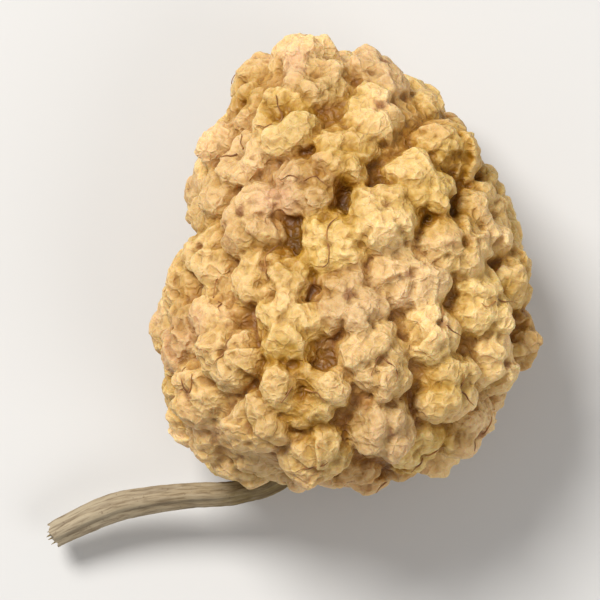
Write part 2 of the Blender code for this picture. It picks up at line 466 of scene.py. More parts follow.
def makeTable():
    # the block that presses the underside flat
    size = skin["tableSize"]
    corners = [(x * size, y * size, z * size) for z in (-1, 0) for y in (-1, 1) for x in (-1, 1)]
    sides = ((0, 2, 3, 1), (4, 5, 7, 6), (0, 1, 5, 4), (2, 6, 7, 3), (0, 4, 6, 2), (1, 3, 7, 5))
    return newPiece("table", corners, sides)


def clusterTree(material):
    tree, given = startTree("cluster drupelets", {
        "Forms": ("Collection", None),
        "Core": ("Object", None),
        "Radius": ("Float", fruit["radius"]),
        "Rise": ("Float", fruit["rise"]),
        "Working scale": ("Float", skin["working"]),
    })
    own = {name: addNode(tree, "GeometryNodeInputNamedAttribute", {"Name": name}, data_type=kind)
           for name, kind in (
               ("turn", "FLOAT_VECTOR"), ("size", "FLOAT"), ("rise", "FLOAT"), ("form", "INT"))}
    radius = addNode(tree, "ShaderNodeMath", {0: given["Radius"], 1: own["size"]}, operation="MULTIPLY")
    height = addNode(tree, "ShaderNodeMath", {0: given["Rise"], 1: own["rise"]}, operation="MULTIPLY")
    scale = addNode(tree, "ShaderNodeCombineXYZ", {0: radius, 1: radius, 2: height})
    rotation = addNode(tree, "FunctionNodeEulerToRotation", {0: own["turn"]})
    forms = addNode(tree, "GeometryNodeCollectionInfo", {
        "Collection": given["Forms"], "Separate Children": True, "Reset Children": True})
    copies = addNode(tree, "GeometryNodeInstanceOnPoints", {
        "Points": given["Geometry"], "Instance": forms, "Pick Instance": True,
        "Instance Index": own["form"], "Rotation": rotation, "Scale": scale})
    whole = addNode(tree, "GeometryNodeRealizeInstances", {"Geometry": copies})
    core = addNode(tree, "GeometryNodeObjectInfo", {"Object": given["Core"]}).outputs["Geometry"]
    joined = addNode(tree, "GeometryNodeJoinGeometry", {"Geometry": whole})
    tree.links.new(core, joined.inputs[0])
    sizes = addNode(tree, "ShaderNodeCombineXYZ", {axis: given["Working scale"] for axis in range(3)})
    grown = addNode(tree, "GeometryNodeTransform", {"Geometry": joined, "Scale": sizes})
    return endTree(tree, grown, material)


def crumpleTree(material):
    tree, given = startTree("crumple the skin", {
        "Pit size": ("Float", skin["pitSize"]),
        "Pit depth": ("Float", skin["pitDepth"]),
        "Wrinkle size": ("Float", skin["wrinkleSize"]),
        "Wrinkle depth": ("Float", skin["wrinkleDepth"]),
        "Smallest": ("Int", skin["smallest"]),
    })
    place = addNode(tree, "GeometryNodeInputPosition")
    pull = addNode(tree, "ShaderNodeTexNoise", {
        "Vector": place, "Scale": skin["pullScale"], "Detail": 3.0}).outputs["Color"]
    pull = addNode(tree, "ShaderNodeVectorMath", {0: pull, 1: (0.5, 0.5, 0.5)}, operation="SUBTRACT")
    pull = addNode(tree, "ShaderNodeVectorMath", {0: pull, "Scale": skin["pull"]}, operation="SCALE")
    pulled = addNode(tree, "ShaderNodeVectorMath", {0: place, 1: pull}, operation="ADD")

    pitScale = addNode(tree, "ShaderNodeMath", {0: 1.0, 1: given["Pit size"]}, operation="DIVIDE")
    pits = addNode(tree, "ShaderNodeTexVoronoi", {
        "Vector": pulled, "Scale": pitScale}, feature="DISTANCE_TO_EDGE").outputs["Distance"]
    pits = addNode(tree, "ShaderNodeMapRange", {
        0: pits, 1: skin["pitEdges"][0], 2: skin["pitEdges"][1]}, interpolation_type="SMOOTHSTEP")
    pits = addNode(tree, "ShaderNodeMath", {0: pits, 1: skin["pitLevel"]}, operation="SUBTRACT")
    pits = addNode(tree, "ShaderNodeMath", {0: pits, 1: given["Pit depth"]}, operation="MULTIPLY")

    wrinkleScale = addNode(tree, "ShaderNodeMath", {0: 1.0, 1: given["Wrinkle size"]}, operation="DIVIDE")
    wrinkles = addNode(tree, "ShaderNodeTexNoise", {
        "Vector": pulled, "Scale": wrinkleScale, "Detail": 2.0, "Roughness": 0.55},
        noise_type="RIDGED_MULTIFRACTAL", normalize=True)
    wrinkles = addNode(tree, "ShaderNodeMath", {0: wrinkles, 1: 0.5}, operation="SUBTRACT")
    wrinkles = addNode(tree, "ShaderNodeMath", {0: wrinkles, 1: given["Wrinkle depth"]}, operation="MULTIPLY")

    push = addNode(tree, "ShaderNodeMath", {0: wrinkles, 1: pits}, operation="SUBTRACT")
    normal = addNode(tree, "GeometryNodeInputNormal")
    normal = addNode(tree, "GeometryNodeBlurAttribute", {
        "Value": normal, "Iterations": skin["normalSteps"]}, data_type="FLOAT_VECTOR")
    offset = addNode(tree, "ShaderNodeVectorMath", {0: normal, "Scale": push}, operation="SCALE")
    moved = addNode(tree, "GeometryNodeSetPosition", {"Geometry": given["Geometry"], "Offset": offset})

    island = addNode(tree, "GeometryNodeInputMeshIsland").outputs["Island Index"]
    points = addNode(tree, "GeometryNodeAccumulateField", {
        "Value": 1, "Group ID": island}, data_type="INT").outputs["Total"]
    pocket = addNode(tree, "FunctionNodeCompare", {
        2: points, 3: given["Smallest"]}, data_type="INT", operation="LESS_THAN")
    whole = addNode(tree, "GeometryNodeDeleteGeometry", {
        "Geometry": moved, "Selection": pocket}, domain="POINT")
    return endTree(tree, whole, material)


def reliefTree(material):
    # what the skin's colour follows: how high each point stands over its surroundings, and its drupelet
    tree, given = startTree("measure the relief", {
        "Drupelets": ("Object", None),
        "Fine steps": ("Int", skin["fineSteps"]),
        "Broad steps": ("Int", skin["broadSteps"]),
        "Working scale": ("Float", skin["working"]),
    })
    place = addNode(tree, "GeometryNodeInputPosition")
    normal = addNode(tree, "GeometryNodeInputNormal")
    geometry = given["Geometry"]
    for name, steps in (("fine", "Fine steps"), ("broad", "Broad steps")):
        blurred = addNode(tree, "GeometryNodeBlurAttribute", {
            "Value": place, "Iterations": given[steps]}, data_type="FLOAT_VECTOR")
        lift = addNode(tree, "ShaderNodeVectorMath", {0: place, 1: blurred}, operation="SUBTRACT")
        height = addNode(tree, "ShaderNodeVectorMath", {0: lift, 1: normal}, operation="DOT_PRODUCT")
        geometry = addNode(tree, "GeometryNodeStoreNamedAttribute", {
            "Geometry": geometry, "Name": name, "Value": height.outputs["Value"]},
            data_type="FLOAT", domain="POINT")
    shrink = addNode(tree, "ShaderNodeMath", {0: 1.0, 1: given["Working scale"]}, operation="DIVIDE")
    trueSize = addNode(tree, "ShaderNodeCombineXYZ", {axis: shrink for axis in range(3)})
    geometry = addNode(tree, "GeometryNodeTransform", {"Geometry": geometry, "Scale": trueSize})

    own = {name: addNode(tree, "GeometryNodeInputNamedAttribute", {"Name": name}, data_type=kind)
           for name, kind in (("axis", "FLOAT_VECTOR"), ("tone", "FLOAT"), ("tip", "FLOAT_VECTOR"))}
    drupelets = addNode(tree, "GeometryNodeObjectInfo", {"Object": given["Drupelets"]}).outputs["Geometry"]
    middles = addNode(tree, "GeometryNodeSetPosition", {"Geometry": drupelets, "Offset": own["axis"]})
    nearest = addNode(tree, "GeometryNodeSampleNearest", {"Geometry": middles}, domain="POINT")
    tone = addNode(tree, "GeometryNodeSampleIndex", {
        "Geometry": middles, "Value": own["tone"], "Index": nearest}, data_type="FLOAT", domain="POINT")
    tip = addNode(tree, "GeometryNodeSampleIndex", {
        "Geometry": middles, "Value": own["tip"], "Index": nearest}, data_type="FLOAT_VECTOR", domain="POINT")
    away = addNode(tree, "ShaderNodeVectorMath", {0: place, 1: tip}, operation="DISTANCE").outputs["Value"]
    away = addNode(tree, "ShaderNodeMath", {0: away, 1: given["Working scale"]}, operation="MULTIPLY")
    for name, value in (("tone", tone), ("away", away)):
        geometry = addNode(tree, "GeometryNodeStoreNamedAttribute", {
            "Geometry": geometry, "Name": name, "Value": value}, data_type="FLOAT", domain="POINT")
    return endTree(tree, geometry, material)


def makeSkin(places, material):
    draw = random.Random(fruit["seed"] + 1)
    choices = [drupelet["sunken"] if p["withered"] else drupelet["forms"] for p in places]
    points = newPiece("drupelet_points", [p["point"] for p in places])
    setAttribute(points, "turn", "FLOAT_VECTOR", [tuple(p["turn"].to_euler()) for p in places])
    setAttribute(points, "size", "FLOAT", [p["size"] for p in places])
    setAttribute(points, "rise", "FLOAT", [p["rise"] for p in places])
    setAttribute(points, "form", "INT", [draw.randrange(count) for count in choices])
    setAttribute(points, "tone", "FLOAT", [draw.random() for _ in places])
    setAttribute(points, "axis", "FLOAT_VECTOR", [
        tuple(drupeletRise(p, skin["middleAmount"])) for p in places])
    setAttribute(points, "tip", "FLOAT_VECTOR", [
        tuple(p["point"] + drupeletRise(p, skin["tipAmount"])) for p in places])
    forms = bpy.data.collections.new("drupelet forms")
    for index in range(drupelet["forms"]):
        drupeletForm(index, forms)
    core = makeCore()
    table = makeTable()

    work = bpy.data.objects.new("work", points.data.copy())
    bpy.context.scene.collection.objects.link(work)
    useTree(work, clusterTree(material), {
        "Forms": forms, "Core": core, "Radius": fruit["radius"], "Rise": fruit["rise"],
        "Working scale": skin["working"]})
    fuse = work.modifiers.new("fuse", "REMESH")
    fuse.mode = "VOXEL"
    fuse.voxel_size = skin["voxel"]
    useTree(work, crumpleTree(material), {
        "Pit size": skin["pitSize"], "Pit depth": skin["pitDepth"],
        "Wrinkle size": skin["wrinkleSize"], "Wrinkle depth": skin["wrinkleDepth"]})
    press = work.modifiers.new("press flat", "BOOLEAN")
    press.operation = "DIFFERENCE"
    press.solver = "MANIFOLD"
    press.object = table
    graph = bpy.context.evaluated_depsgraph_get()
    full = bpy.data.meshes.new_from_object(work.evaluated_get(graph))
    full.calc_loop_triangles()
    count = len(full.loop_triangles)
    print("skin: %d triangles before thinning" % count)

    work.modifiers.clear()
    work.data = full
    thin = work.modifiers.new("thin", "DECIMATE")
    thin.ratio = min(1.0, skin["triangles"] / count)
    useTree(work, reliefTree(material), {
        "Drupelets": points, "Fine steps": skin["fineSteps"], "Broad steps": skin["broadSteps"],
        "Working scale": skin["working"]})
    piece = finishedMesh(work, "crumpled_skin")
    removePieces([*forms.objects, core, table, points])
    bpy.data.collections.remove(forms)
    return piece


# Sun-dried mulberry flesh: sugary, leathery and a little see-through. Thin ridges dry pale,
# the folds between them stay amber and are painted darker as shade, dark brown at the bottom.
flesh = {
    # the ramp below is partly painted shade in the low places and painted light on the high ones
    "pitBrownAndShade": "#4A2B09",
    "fold": "#8C5A14",
    "amber": "#B68638",
    "body": "#CBA25A",
    "ridge": "#DAB171",
    "pale": "#E6C58E",
    "pink": "#D9A485",
    "olive": "#AB9350",
    "bloom": "#EDD7AC",  # dried sugar on the highest places
    "scar": "#7C3D0C",  # where the threads came out
    "levels": {"pitBrownAndShade": 0.04, "fold": 0.28, "amber": 0.46, "body": 0.66, "ridge": 0.98},
    "depths": (-0.48, 0.33),  # mm from the surroundings, for level 0 and level 1
    "shifts": {"speckle": 0.24, "patch": 0.9},  # how far these patterns move the levels
    "raggedness": 0.5,  # mm, of a scar's edge
    # each pattern's size in mm, its detail, its roughness and its kind
    "patterns": {
        "patch": (3.4, 1.0, 0.5, "FBM"),
        "blotch": (2.4, 2.0, 0.5, "FBM"),
        "speckle": (0.35, 3.0, 0.6, "FBM"),
        "crinkle": (0.13, 3.0, 0.6, "RIDGED_MULTIFRACTAL"),
        "grain": (0.05, 2.0, 0.6, "FBM"),
    },
    "wrinkleSize": 0.36,
    "wrinklePull": 0.5,  # mm, how far the wrinkles bend, and on what size
    # what each share follows, the two readings it runs between, and its own value at each
    "shares": {
        "crest": ("wrinkle", 0.22, 0.0, 0.0, 1.0),  # 1 along the crest of a wrinkle
        "exposed": ("height", 0.35, 0.65, 0.0, 1.0),
        "pinkPlace": ("blotch", 0.54, 0.72, 0.0, 0.45),
        "olivePlace": ("blotch", 0.46, 0.28, 0.0, 0.40),
        # the flesh's own bleaching and a painted highlight on the sharp ridges
        "bleachedAndLit": ("fine", 0.006, 0.036, 0.0, 0.55),
        # painted shade in the fine folds, on top of the flesh's own brown there
        "paintedFoldShade": ("fine", -0.004, -0.040, 0.0, 0.6),
        "crestPlace": ("height", 0.35, 0.8, 0.0, 0.40),
        "sugarGrain": ("grain", 0.54, 0.66, 0.0, 1.0),
        "sugarPlace": ("height", 0.62, 0.95, 0.0, 0.32),
        "scarEdge": ("ragged", 0.24, 0.13, 0.0, 0.65),
        "scarPlace": ("patch", 0.38, 0.52, 0.0, 1.0),
        "toneValue": ("tone", 0.0, 1.0, 0.82, 1.11),
        "patchValue": ("patch", 0.34, 0.66, 0.88, 1.10),
        "hue": ("tone", 0.0, 1.0, 0.494, 0.506),
        "saturation": ("patch", 0.34, 0.66, 1.04, 0.93),
        "roughness": ("height", 0.2, 0.9, 0.50, 0.66),  # the sticky folds shine more than the dry ridges
    },
    "sugarRoughness": 0.3,
    "bumps": {"crest": 0.050, "crinkle": 0.026, "grain": 0.008},  # mm
    "bumpStrength": 0.8,
}


def fleshMaterial():
    material, tree = newMaterial("sun-dried mulberry flesh")
    place = addNode(tree, "ShaderNodeTexCoord").outputs["Object"]
    read = {name: addNode(tree, "ShaderNodeAttribute", attribute_name=name).outputs["Fac"]
            for name in ("fine", "broad", "tone", "away")}
    for name, (size, detail, roughness, kind) in flesh["patterns"].items():
        read[name] = addNode(tree, "ShaderNodeTexNoise", {
            "Vector": place, "Scale": 1 / (size * mm), "Detail": detail, "Roughness": roughness},
            noise_type=kind)
    pull = addNode(tree, "ShaderNodeTexNoise", {
        "Vector": place, "Scale": 1 / (flesh["wrinklePull"] * mm), "Detail": 2.0}).outputs["Color"]
    pull = addNode(tree, "ShaderNodeVectorMath", {
        0: pull, "Scale": flesh["wrinklePull"] * mm}, operation="SCALE")
    pulled = addNode(tree, "ShaderNodeVectorMath", {0: place, 1: pull}, operation="ADD")
    read["wrinkle"] = addNode(tree, "ShaderNodeTexVoronoi", {
        "Vector": pulled, "Scale": 1 / (flesh["wrinkleSize"] * mm)},
        feature="DISTANCE_TO_EDGE").outputs["Distance"]

    # low places are dark and high ones pale, partly the flesh's own amber and partly painted shade
    # and painted light, and two of the patterns move that either way
    middles, moves = {}, []
    for name, amount in flesh["shifts"].items():
        middles[name] = addNode(tree, "ShaderNodeMath", {0: read[name], 1: 0.5}, operation="SUBTRACT")
        moves.append(addNode(tree, "ShaderNodeMath", {0: middles[name], 1: amount}, operation="MULTIPLY"))
    uneven = addNode(tree, "ShaderNodeMath", {0: moves[0], 1: moves[1]}, operation="ADD")
    lowest, highest = flesh["depths"]
    height = addNode(tree, "ShaderNodeMapRange", {0: read["broad"], 1: lowest, 2: highest})
    height = addNode(tree, "ShaderNodeMath", {0: height, 1: uneven}, operation="ADD")
    read["height"] = height
    ragged = addNode(tree, "ShaderNodeMath", {
        0: middles["speckle"], 1: flesh["raggedness"]}, operation="MULTIPLY")
    read["ragged"] = addNode(tree, "ShaderNodeMath", {0: read["away"], 1: ragged}, operation="ADD")
    for name, (source, start, full, least, most) in flesh["shares"].items():
        read[name] = addNode(tree, "ShaderNodeMapRange", {
            0: read[source], 1: start, 2: full, 3: least, 4: most})
    # the pale along the crests of the wrinkles is a painted highlight
    for name, first, second in (
            ("pink", "exposed", "pinkPlace"), ("olive", "exposed", "olivePlace"),
            ("paintedCrestLight", "crest", "crestPlace"), ("sugar", "sugarGrain", "sugarPlace"),
            ("scar", "scarEdge", "scarPlace"), ("value", "toneValue", "patchValue")):
        read[name] = addNode(tree, "ShaderNodeMath", {0: read[first], 1: read[second]}, operation="MULTIPLY")

    # some parts dried pink and some stayed green, sharp ridges are bleached and get a painted highlight,
    # the crests of the wrinkles get a painted highlight, and the fine folds are painted darker brown, partly
    # their own colour and partly shade
    # the colour on height: painted shade in the low places, over the flesh's own amber
    colour = addNode(tree, "ShaderNodeValToRGB", {0: height})
    stops = colour.color_ramp.elements
    for stop, name in ((stops[0], "pitBrownAndShade"), (stops[1], "ridge")):
        stop.position, stop.color = flesh["levels"][name], linear(flesh[name])
    for name in ("fold", "amber", "body"):
        stops.new(flesh["levels"][name]).color = linear(flesh[name])
    for name, over in (("pink", "pink"), ("olive", "olive"), ("bleachedAndLit", "pale"), ("paintedCrestLight", "pale"),
                       ("paintedFoldShade", "fold"), ("sugar", "bloom"), ("scar", "scar")):
        colour = addNode(tree, "ShaderNodeMix", {
            0: read[name], 6: colour, 7: linear(flesh[over])}, data_type="RGBA").outputs[2]
    colour = addNode(tree, "ShaderNodeHueSaturation", {
        "Color": colour, "Hue": read["hue"], "Saturation": read["saturation"], "Value": read["value"]})

    normal = None
    for name, depth in flesh["bumps"].items():
        bump = addNode(tree, "ShaderNodeBump", {
            "Strength": flesh["bumpStrength"], "Distance": depth * mm, "Height": read[name]})
        if normal:
            tree.links.new(normal, bump.inputs["Normal"])
        normal = bump.outputs[0]
    sugary = addNode(tree, "ShaderNodeMath", {
        0: read["sugar"], 1: flesh["sugarRoughness"]}, operation="MULTIPLY")
    roughness = addNode(tree, "ShaderNodeMath", {0: read["roughness"], 1: sugary}, operation="ADD")
    shader = addNode(tree, "ShaderNodeBsdfPrincipled", {
        "Base Color": colour,
        "Roughness": roughness,
        "IOR": 1.46,
        "Specular IOR Level": 0.40,
        "Subsurface Weight": 0.35,
        "Subsurface Radius": (1.0, 0.50, 0.15),
        "Subsurface Scale": 0.65 * mm,
        "Normal": normal})
    addNode(tree, "ShaderNodeOutputMaterial", {"Surface": shader})
    return material


# The withered threads that the pollen was caught with: two on the top of a drupelet, curled and brown.
threads = {
    "share": 0.40,  # of the drupelets still have theirs
    "forms": 7,
    "points": 14,
    "length": (0.55, 1.05),  # mm, as the sizes below
    "radius": 0.028,
    "thinning": 0.6,  # share of the radius lost from root to end
    "swelling": (0.18, 9),  # share of the radius, and the radians of its wave from root to end
    "sides": 6,
    "rootDepth": 0.10,
    "rootShare": 0.15,  # of the length goes down into the skin
    "endLift": 0.09,
    "endShares": (0.2, 1.0),  # of that lift
    "curl": 2.2,
    "sway": (2.4, 7),  # its turning to and fro in radians a length, and the radians of that wave
    "spread": 0.9,  # how far a drupelet's two may be from opposite
    "smoothing": 2,
    "lowest": -0.15,  # a drupelet facing further down than this has lost them
    "clear": 1.2,  # mm over the table, and so has one whose top is lower than this
    "browns": ((0.35, "#6A3D16"), (0.68, "#B07C40")),
    "patchSize": 0.5,
    "streakSize": 0.04,
    "streakHeight": 0.008,
    "seed": 77,
}


def threadForm(index, collection):
    # one thread laid out flat from its root, with its height over the skin kept as a number
    draw = random.Random(threads["seed"] + index)
    steps = threads["points"]
    swell, swellTurn = threads["swelling"]
    sway, swayTurn = threads["sway"]
    length = draw.uniform(*threads["length"]) * mm
    heading = 0.0
    bend = draw.uniform(-1, 1) * threads["curl"]
    wave = draw.uniform(0, math.tau)
    end = draw.uniform(*threads["endShares"]) * threads["endLift"]
    spot = Vector((0, 0, 0))
    spots, lifts, radii = [], [], []
    for step in range(steps + 1):
        amount = step / steps
        buried = threads["rootDepth"] * max(0.0, 1 - amount / threads["rootShare"])
        radius = threads["radius"] * (1.0 - threads["thinning"] * amount)
        radius *= 1.0 + swell * math.sin(swellTurn * amount + wave)
        spots.append(spot.copy())
        lifts.append((-buried + threads["radius"] + end * amount ** 3) * mm)
        radii.append(radius * mm)
        heading += (bend + sway * math.sin(swayTurn * amount + wave)) / steps
        spot += Vector((math.cos(heading), math.sin(heading), 0)) * length / steps
    edges = [(i, i + 1) for i in range(steps)]
    line = newPiece("thread_%02d" % index, spots, edges=edges, collection=collection)
    setAttribute(line, "lift", "FLOAT", lifts)
    setAttribute(line, "radius", "FLOAT", radii)


def threadTree(material):
    tree, given = startTree("lay threads on the skin", {
        "Threads": ("Collection", None),
        "Skin": ("Object", None),
        "Sides": ("Int", threads["sides"]),
        "Smoothing": ("Int", threads["smoothing"]),
    })
    own = {name: addNode(tree, "GeometryNodeInputNamedAttribute", {"Name": name}, data_type=kind)
           for name, kind in (
               ("turn", "FLOAT_VECTOR"), ("form", "INT"), ("lift", "FLOAT"), ("radius", "FLOAT"))}
    place = addNode(tree, "GeometryNodeInputPosition")
    normal = addNode(tree, "GeometryNodeInputNormal")
    forms = addNode(tree, "GeometryNodeCollectionInfo", {
        "Collection": given["Threads"], "Separate Children": True, "Reset Children": True})
    rotation = addNode(tree, "FunctionNodeEulerToRotation", {0: own["turn"]})
    copies = addNode(tree, "GeometryNodeInstanceOnPoints", {
        "Points": given["Geometry"], "Instance": forms, "Pick Instance": True,
        "Instance Index": own["form"], "Rotation": rotation})
    lines = addNode(tree, "GeometryNodeRealizeInstances", {"Geometry": copies})
    skinMesh = addNode(tree, "GeometryNodeObjectInfo", {"Object": given["Skin"]}).outputs["Geometry"]
    nearest = addNode(tree, "GeometryNodeProximity", {
        0: skinMesh}, target_element="FACES").outputs["Position"]
    outward = addNode(tree, "GeometryNodeSampleNearestSurface", {
        0: skinMesh, "Value": normal}, data_type="FLOAT_VECTOR").outputs["Value"]
    raised = addNode(tree, "ShaderNodeVectorMath", {0: outward, "Scale": own["lift"]}, operation="SCALE")
    onSkin = addNode(tree, "ShaderNodeVectorMath", {0: nearest, 1: raised}, operation="ADD")
    laid = addNode(tree, "GeometryNodeSetPosition", {"Geometry": lines, "Position": onSkin})
    smooth = addNode(tree, "GeometryNodeBlurAttribute", {
        "Value": place, "Iterations": given["Smoothing"]}, data_type="FLOAT_VECTOR")
    laid = addNode(tree, "GeometryNodeSetPosition", {"Geometry": laid, "Position": smooth})
    paths = addNode(tree, "GeometryNodeMeshToCurve", {"Mesh": laid})
    outline = addNode(tree, "GeometryNodeCurvePrimitiveCircle", {
        "Resolution": given["Sides"], "Radius": 1.0}, mode="RADIUS")
    tubes = addNode(tree, "GeometryNodeCurveToMesh", {
        "Curve": paths, "Profile Curve": outline, "Scale": own["radius"], "Fill Caps": True})
    return endTree(tree, tubes, material)


def makeThreads(places, skinPiece, material):
    draw = random.Random(threads["seed"])
    roots, turns, forms = [], [], []
    for place in places:
        facing = place["facing"]
        root = place["point"] + drupeletRise(place, skin["tipAmount"])
        kept = draw.random() < threads["share"]
        spin = draw.uniform(0, math.tau)
        if not kept or facing.z < threads["lowest"] or root.z < threads["clear"] * mm:
            continue
        for way in (0.0, math.pi + draw.uniform(-threads["spread"], threads["spread"])):
            turn = upward.rotation_difference(facing) @ Quaternion(upward, spin + way)
            roots.append(root)
            turns.append(tuple(turn.to_euler()))
            forms.append(draw.randrange(threads["forms"]))
    points = newPiece("thread_points", roots)
    setAttribute(points, "turn", "FLOAT_VECTOR", turns)
    setAttribute(points, "form", "INT", forms)
    lines = bpy.data.collections.new("thread forms")
    for index in range(threads["forms"]):
        threadForm(index, lines)
    useTree(points, threadTree(material), {
        "Threads": lines, "Skin": skinPiece, "Sides": threads["sides"], "Smoothing": threads["smoothing"]})
    piece = finishedMesh(points, "withered_threads")
    removePieces(lines.objects)
    bpy.data.collections.remove(lines)
    print("threads: %d" % len(roots))
    return piece


def threadMaterial():
    # withered threads are dull and brittle, dark brown in some places and light brown in others
    material, tree = newMaterial("withered brown thread")
    place = addNode(tree, "ShaderNodeTexCoord").outputs["Object"]
    patchy = addNode(tree, "ShaderNodeTexNoise", {
        "Vector": place, "Scale": 1 / (threads["patchSize"] * mm), "Detail": 2.0})
    streaks = addNode(tree, "ShaderNodeTexNoise", {
        "Vector": place, "Scale": 1 / (threads["streakSize"] * mm), "Detail": 2.0})
    ramp = addNode(tree, "ShaderNodeValToRGB", {0: patchy})
    for stop, (level, colour) in zip(ramp.color_ramp.elements, threads["browns"]):
        stop.position, stop.color = level, linear(colour)
    bump = addNode(tree, "ShaderNodeBump", {
        "Strength": 0.6, "Distance": threads["streakHeight"] * mm, "Height": streaks})
    shader = addNode(tree, "ShaderNodeBsdfPrincipled", {
        "Base Color": ramp, "Roughness": 0.6, "IOR": 1.5, "Normal": bump})
    addNode(tree, "ShaderNodeOutputMaterial", {"Surface": shader})
    return material


# The stalk's route and radii are the solid one's, in mm from the middle of the fruit.
stalk = {
    "route": ((-0.3, -4.6, -0.4), (-0.9, -6.5, -1.3), (-2.3, -7.3, -2.0),
              (-4.2, -7.6, -2.5), (-6.4, -8.15, -2.9), (-8.5, -9.3, -3.4)),
    "radii": (0.50, 0.40, 0.36, 0.39, 0.45, 0.38),
    "points": 110,
    "sides": 40,
    "ribs": 5,
    "ribDepth": 0.11,  # share of the radius, as the small ones'
    "smallRibs": 13,
    "smallRibDepth": 0.035,
    "smallRibTurn": 1.0,
    "wrinkleSize": 0.25,  # mm, as the depth of the wrinkles
    "wrinkleDepth": 0.03,
    "foldStretch": 7.0,  # little noise for so long a stalk, so the folds run lengthwise
    "foldScale": 1.9,  # to a radius of the stalk, so a fold is about 0.2 mm wide
    "foldShare": 2.4,
    "foldLevel": 1.7,
    "start": 0.05,  # share of the route where it starts, inside the fruit, and where it ends
    "end": 0.985,
    "tornFrom": 0.94,  # the last of it is torn, not cut
    "tornDepth": 0.22,  # mm
    "tearScale": 3.4,  # to a radius too
    "tearLevel": 0.75,  # the end stays whole where the noise that tears it is this high
    "tearStretch": 2.0,
    "splinters": 12,
    "splinterSize": (0.05, 0.26),  # radius and length in mm
    "splinterThickness": (0.6, 1.3),
    "splinterLength": (0.7, 1.5),
    "splinterLean": (-0.05, 0.16),
    "splinterReach": 0.72,  # share of the stalk's radius
    "splinterSunk": 0.9,  # share of the length that is inside
    "seed": 5,
}


def stalkPoint(amount):
    # a point of the route and the radius there, at 0 to 1
    place, span, part = curvePoint([fruit["centre"] + Vector(p) * mm for p in stalk["route"]], amount)
    radius = stalk["radii"][span] * (1 - part) + stalk["radii"][span + 1] * part
    return place, radius * mm


